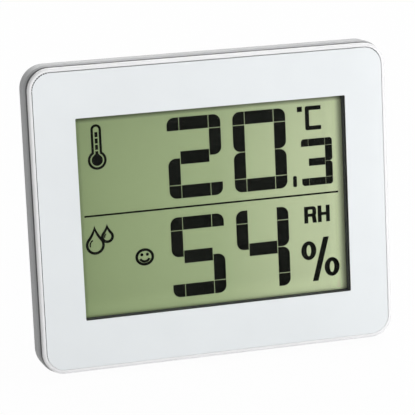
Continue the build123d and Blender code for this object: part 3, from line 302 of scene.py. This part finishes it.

# Painted shade on the edge of the lens behind it as well, made near opaque there.
clear_lens = clear("clear_lens", (110, 114, 114), (104, 108, 108), LENS_ALPHA, roughness=0.05)
lens_edge_shade = clear_lens.upper_left_edge()
clear_lens.link(
    clear_lens.spread(lens_edge_shade, LENS_ALPHA, LENS_EDGE_ALPHA, start=0.0, end=1.0),
    clear_lens.shader.inputs["Alpha"])
lens_shade_colour = clear_lens.mix(clear_lens.edge_shade(), colour(*FILM_WHITE), colour(*SEAM_SHADE_DARK))
clear_lens.paint(clear_lens.mix(lens_edge_shade, clear_lens.painted, lens_shade_colour))
dress(clear_lens, "front_lens")

# ---------------------------------------------------------------- display

display_glass = clear("display_glass", (60, 66, 50), (56, 62, 47), alpha=0.01, roughness=0.1)
dress(display_glass, "display_front_glass")

# The green-grey field, with painted light: darker to the left and lighter to the right, and with
# painted shade along the window's edges.
display_field = Surface("display_field")
field_right = display_field.along(ACROSS, WINDOW_CENTRE)
field_up = display_field.along(UPWARD, WINDOW_CENTRE)
painted_light_ramp = display_field.add("ShaderNodeValToRGB")
ramp = painted_light_ramp.color_ramp
ramp.elements[0].color = colour(147, 165, 119)
ramp.elements[1].color = colour(207, 219, 178)
ramp.elements.new(0.5).color = colour(167, 184, 139)
display_field.link(
    display_field.spread(field_right, 0.0, 1.0, start=-WINDOW_HALF_WIDTH, end=WINDOW_HALF_WIDTH),
    painted_light_ramp.inputs["Fac"])
field_grain = display_field.noise(scale=3500.0)
shaded = display_field.mix(
    display_field.spread(field_grain, 0.0, 0.08), painted_light_ramp.outputs["Color"],
    colour(120, 132, 96))
# For an edge of the window, 1.0 being the right or the upper one and -1.0 the one opposite:
# how far inside it the painted shade starts to fade and where it has gone, in millimetres, and
# how dark it is. The two negative ones are painted light, brighter bands that lift the shade by
# the right and lower edges.
EDGE_SHADES = (
    (field_right, 1.0, WINDOW_HALF_WIDTH, 0.0, 1.8, 0.6),
    (field_right, 1.0, WINDOW_HALF_WIDTH, 1.0, 5.0, -0.5),
    (field_right, -1.0, WINDOW_HALF_WIDTH, 1.2, 1.9, 0.15),
    (field_up, 1.0, WINDOW_HALF_HEIGHT, 0.75, 1.95, 0.64),
    (field_up, -1.0, WINDOW_HALF_HEIGHT, 0.0, 0.5, 0.25),
    (field_up, -1.0, WINDOW_HALF_HEIGHT, 0.0, 6.0, -0.26),
)
for measure, edge_sign, half, fade_start, fade_end, darkness in EDGE_SHADES:
    outwards = display_field.math("MULTIPLY", measure, edge_sign)
    inwards = display_field.math("SUBTRACT", half, outwards)
    lit = display_field.smooth(inwards, fade_start * MM, fade_end * MM)
    level = display_field.math(
        "ADD", display_field.math("MULTIPLY", lit, darkness), 1.0 - darkness)
    shaded = display_field.mix(1.0, shaded, level, blend="MULTIPLY")
display_field.paint(shaded)
display_field.roughen(field_grain, 0.5, 0.62)
display_field.bump(field_grain, distance=0.003 * MM, strength=0.4)
display_field.fix(Specular_IOR_Level=0.1)
dress(display_field, "display_rear_glass")

figure_black = Surface("figure_black")
ink = figure_black.noise(scale=900.0)
figure_black.paint(figure_black.clouded(ink, (5, 7, 3), (7, 9, 4)))
figure_black.roughen(ink, 0.45, 0.6)
figure_black.fix(Specular_IOR_Level=0.05)
dress(figure_black, "temperature_figures", "humidity_figures", "display_symbols")

# ---------------------------------------------------------------- plain plastics and metals

OUTER_SKIN = {"grain": 1700.0, "height": 0.02 * MM}
# Material, display colours of its two tones, range of its roughness, its nodes and what
# differs from the defaults of moulded().
PLASTICS = (
    ("gasket_dark", (68, 70, 72), (60, 62, 64), (0.6, 0.8), ("display_gasket",),
     {"grain": 1800.0, "height": 0.01 * MM, "gloss": 0.3}),
    ("holder_white", (225, 226, 222), (216, 217, 212), (0.4, 0.55), ("display_holder",), {}),
    ("epoxy_black", (24, 24, 26), (32, 32, 34), (0.18, 0.34), ("controller_chip",),
     {"grain": 700.0}),
    ("sensor_white", (232, 232, 228), (222, 222, 216), (0.35, 0.5), ("humidity_sensor",), {}),
    ("thermistor_black", (30, 30, 32), (22, 22, 24), (0.2, 0.4), ("thermistor",),
     {"grain": 900.0}),
    ("switch_black", (36, 36, 38), (28, 28, 30), (0.4, 0.6),
     ("max_min_switch", "unit_switch"), {}),
    ("plunger_grey", (96, 98, 100), (84, 86, 88), (0.35, 0.5),
     ("max_min_plunger", "unit_plunger"), {}),
    ("button_grey", (176, 178, 179), (168, 170, 171), (0.42, 0.58),
     ("max_min_button", "unit_button"), {"grain": 1900.0}),
    ("door_grey", (174, 175, 176), (168, 169, 170), (0.44, 0.6), ("battery_door",), OUTER_SKIN),
    ("stand_grey", (172, 173, 174), (165, 166, 167), (0.44, 0.6), ("stand",), OUTER_SKIN),
)
for name, base, shade, rough, dressed, details in PLASTICS:
    dress(moulded(name, base, shade, rough, **details), *dressed)

# Painted shade on the shell's front edge, in the parting groove.
shell_grey = moulded("shell_grey", (170, 171, 172), (164, 165, 166), (0.44, 0.6), **OUTER_SKIN)
past_groove_shade = shell_grey.smooth(
    shell_grey.along(BACKWARD, FACE_CENTRE), 2.1 * MM, 2.6 * MM)
shell_grey.paint(shell_grey.mix(past_groove_shade, colour(88, 89, 90), shell_grey.painted))
dress(shell_grey, "rear_shell")

# The same for metal(), with the stretch of its drawing lines at the end.
METALS = (
    ("reflector_film", (190, 196, 184), (178, 184, 172), (0.35, 0.5),
     ("display_reflector",), EVEN),
    ("can_steel", (206, 207, 208), (188, 189, 190), (0.22, 0.38),
     ("clock_crystal",), (1.0, 1.0, 0.1)),
    ("screw_steel", (196, 197, 198), (168, 169, 170), (0.25, 0.42),
     ("case_screws", "board_screws"), EVEN),
    ("contact_nickel", (214, 210, 200), (196, 192, 182), (0.2, 0.34),
     ("positive_contact", "negative_contact"), EVEN),
    ("spring_nickel", (208, 205, 197), (186, 183, 175), (0.2, 0.36),
     ("contact_spring",), EVEN),
)
for name, base, shade, rough, dressed, stretch in METALS:
    dress(metal(name, base, shade, rough, stretch), *dressed)

# ---------------------------------------------------------------- inside

foam_grey = Surface("foam_grey")
foam = foam_grey.add("ShaderNodeTexVoronoi")
foam.inputs["Scale"].default_value = 2600.0
foam_grey.link(foam_grey.place, foam.inputs["Vector"])
in_cell = foam_grey.spread(foam.outputs["Distance"], 0.0, 1.0, start=0.0, end=0.6)
foam_grey.paint(foam_grey.mix(in_cell, colour(92, 94, 97), colour(128, 130, 133)))
foam_grey.roughen(foam_grey.noise(scale=400.0), 0.85, 1.0)
foam_grey.bump(foam.outputs["Distance"], distance=0.06 * MM, strength=0.8)
dress(foam_grey, "display_pads")

# Layers of clear silicone and carbon-filled silicone, side by side.
elastomer_pink = Surface("elastomer_pink")
layers = elastomer_pink.add("ShaderNodeTexWave", wave_type="BANDS", bands_direction="X")
layers.inputs["Scale"].default_value = 900.0
layers.inputs["Distortion"].default_value = 0.0
elastomer_pink.link(elastomer_pink.place, layers.inputs["Vector"])
in_carbon = elastomer_pink.smooth(layers.outputs["Fac"], 0.45, 0.55)
elastomer_pink.paint(elastomer_pink.mix(in_carbon, colour(206, 142, 142), colour(38, 34, 36)))
elastomer_pink.roughen(elastomer_pink.noise(scale=900.0), 0.5, 0.7)
dress(elastomer_pink, "contact_strip")

# Solder mask over copper tracks, with the tracks a little lighter and raised.
board_green = Surface("board_green")
tracks = board_green.add("ShaderNodeTexBrick")
tracks.inputs["Scale"].default_value = 260.0
tracks.inputs["Mortar Size"].default_value = 0.09
tracks.inputs["Mortar Smooth"].default_value = 0.3
onto_board = board_green.add("ShaderNodeMapping")
onto_board.inputs["Rotation"].default_value = (math.pi / 2 - LEAN, 0.0, 0.0)
board_green.link(board_green.place, onto_board.inputs["Vector"])
board_green.link(onto_board.outputs["Vector"], tracks.inputs["Vector"])
mask = board_green.clouded(board_green.noise(scale=160.0, detail=3.0), (26, 92, 52), (20, 78, 44))
board_green.paint(board_green.mix(tracks.outputs["Fac"], mask, colour(48, 126, 72)))
board_green.roughen(board_green.noise(scale=900.0), 0.25, 0.4)
board_green.bump(tracks.outputs["Fac"], distance=0.035 * MM, strength=0.7)
dress(board_green, "circuit_board")

component_brown = Surface("component_brown")
ceramic = component_brown.noise(scale=1400.0, detail=3.0)
component_brown.paint(component_brown.clouded(ceramic, (150, 116, 82), (112, 84, 58)))
component_brown.roughen(ceramic, 0.35, 0.6)
component_brown.bump(ceramic, distance=0.01 * MM, strength=0.5)
dress(component_brown, "board_components")

# The cell's jacket, with a pale band near its right end.
CELL_BAND_FROM = 33.0 * MM
cell_low, cell_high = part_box("battery_cell")
cell_jacket = Surface("cell_jacket")
band_start = cell_low[0] + CELL_BAND_FROM
in_band = cell_jacket.smooth(
    cell_jacket.along(ACROSS, Vector((0.0, 0.0, 0.0))), band_start, band_start + 0.2 * MM)
printing = cell_jacket.noise(scale=500.0)
jacket = cell_jacket.clouded(printing, (74, 84, 92), (66, 76, 84))
cell_jacket.paint(cell_jacket.mix(in_band, jacket, colour(176, 180, 182)))
cell_jacket.roughen(printing, 0.25, 0.36)
cell_jacket.bump(cell_jacket.noise(scale=1800.0), distance=0.003 * MM, strength=0.4)
cell_jacket.fix(Metallic=0.35)
dress(cell_jacket, "battery_cell")

# ---------------------------------------------------------------- camera

CAMERA_PLACE = (-0.15661, -0.50959, 0.21932)
CAMERA_FORWARD = Vector((0.279709, 0.903007, -0.326099))


def aim(thing, place, forward):
    """Puts a camera or a lamp at a place, facing forward and upright."""
    bpy.context.scene.collection.objects.link(thing)
    thing.location = place
    thing.rotation_mode = "QUATERNION"
    thing.rotation_quaternion = forward.to_track_quat("-Z", "Y")


camera_data = bpy.data.cameras.new("camera")
camera_data.sensor_width = 36.0
camera_data.lens = 192.3
camera_data.clip_start = 0.01
camera_data.clip_end = 100.0
camera = bpy.data.objects.new("camera", camera_data)
aim(camera, CAMERA_PLACE, CAMERA_FORWARD)
bpy.context.scene.camera = camera


# ---------------------------------------------------------------- floor

FLOOR_HALF = 3.0
# How much of the floor is white as seen; the rest shows the object's shadow.
FLOOR_WHITE = 0.975


def seen_rays(tree):
    """1 for camera, glossy and transmission rays, 0 for the rest."""
    path = tree.nodes.new("ShaderNodeLightPath")
    total = path.outputs["Is Camera Ray"]
    for name in ("Is Glossy Ray", "Is Transmission Ray"):
        either = tree.nodes.new("ShaderNodeMath")
        either.operation = "MAXIMUM"
        tree.links.new(total, either.inputs[0])
        tree.links.new(path.outputs[name], either.inputs[1])
        total = either.outputs["Value"]
    return total


floor_mesh = bpy.data.meshes.new("floor")
floor_corners = ((-1, -1), (1, -1), (1, 1), (-1, 1))
floor_mesh.from_pydata(
    [(x * FLOOR_HALF, y * FLOOR_HALF, 0.0) for x, y in floor_corners], [], [(0, 1, 2, 3)])
floor = bpy.data.objects.new("floor", floor_mesh)
bpy.context.scene.collection.objects.link(floor)

floor_material = bpy.data.materials.new("floor_white")
floor_material.use_nodes = True
floor_tree = floor_material.node_tree
floor_tree.nodes.clear()
floor_lit = floor_tree.nodes.new("ShaderNodeBsdfDiffuse")
floor_lit.inputs["Color"].default_value = (0.8, 0.8, 0.8, 1.0)
floor_glow = floor_tree.nodes.new("ShaderNodeEmission")
floor_glow.inputs["Color"].default_value = (1.0, 1.0, 1.0, 1.0)
floor_glow.inputs["Strength"].default_value = 1.0
floor_share = floor_tree.nodes.new("ShaderNodeMath")
floor_share.operation = "MULTIPLY"
floor_share.inputs[1].default_value = FLOOR_WHITE
floor_tree.links.new(seen_rays(floor_tree), floor_share.inputs[0])
floor_mix = floor_tree.nodes.new("ShaderNodeMixShader")
for source, socket in zip((floor_share, floor_lit, floor_glow), floor_mix.inputs):
    floor_tree.links.new(source.outputs[0], socket)
floor_out = floor_tree.nodes.new("ShaderNodeOutputMaterial")
floor_tree.links.new(floor_mix.outputs["Shader"], floor_out.inputs["Surface"])
floor_mesh.materials.append(floor_material)

# ---------------------------------------------------------------- light

# The room: dim on one side and brighter on the other, and white to the rays that see it.
AMBIENT_DARK = 0.04
AMBIENT_BRIGHT = 0.27
AMBIENT_TOWARDS = Vector((0.6, 0.0, 0.8)).normalized()
ROOM_WHITE = 1.0
world = bpy.data.worlds.new("studio")
bpy.context.scene.world = world
world.use_nodes = True
world_tree = world.node_tree
background = world_tree.nodes["Background"]
background.inputs["Color"].default_value = (1.0, 1.0, 1.0, 1.0)
sky_place = world_tree.nodes.new("ShaderNodeTexCoord")
sky_side = world_tree.nodes.new("ShaderNodeVectorMath")
sky_side.operation = "DOT_PRODUCT"
sky_side.inputs[1].default_value = AMBIENT_TOWARDS
world_tree.links.new(sky_place.outputs["Generated"], sky_side.inputs[0])
ambient = world_tree.nodes.new("ShaderNodeMapRange")
ambient.inputs["From Min"].default_value = -1.0
ambient.inputs["To Min"].default_value = AMBIENT_DARK
ambient.inputs["To Max"].default_value = AMBIENT_BRIGHT
world_tree.links.new(sky_side.outputs["Value"], ambient.inputs["Value"])
strength = world_tree.nodes.new("ShaderNodeMapRange")
strength.inputs["To Max"].default_value = ROOM_WHITE
world_tree.links.new(seen_rays(world_tree), strength.inputs["Value"])
world_tree.links.new(ambient.outputs["Result"], strength.inputs["To Min"])
world_tree.links.new(strength.outputs["Result"], background.inputs["Strength"])

# Lamp, direction and distance from the middle of the front face, width and height, watts.
LAMPS = (
    ("key", (-0.12, -0.9, 0.26), 1.2, (0.9, 0.5), 5.3),
    ("side", (0.66, -0.74, 0.02), 0.5, (0.25, 0.25), 1.08),
    ("top", (0.45, 0.15, 0.9), 0.7, (0.6, 0.6), 2.35),
    ("back", (0.15, 0.85, 0.5), 1.2, (0.9, 0.6), 6.0),
)
for name, direction, distance, lamp_size, power in LAMPS:
    lamp_data = bpy.data.lights.new(name, "AREA")
    lamp_data.shape = "RECTANGLE"
    lamp_data.size, lamp_data.size_y = lamp_size
    lamp_data.energy = power
    lamp = bpy.data.objects.new(name, lamp_data)
    lamp.visible_camera = False
    towards = Vector(direction).normalized()
    aim(lamp, FACE_CENTRE + towards * distance, -towards)

bpy.context.scene.view_settings.view_transform = "Standard"
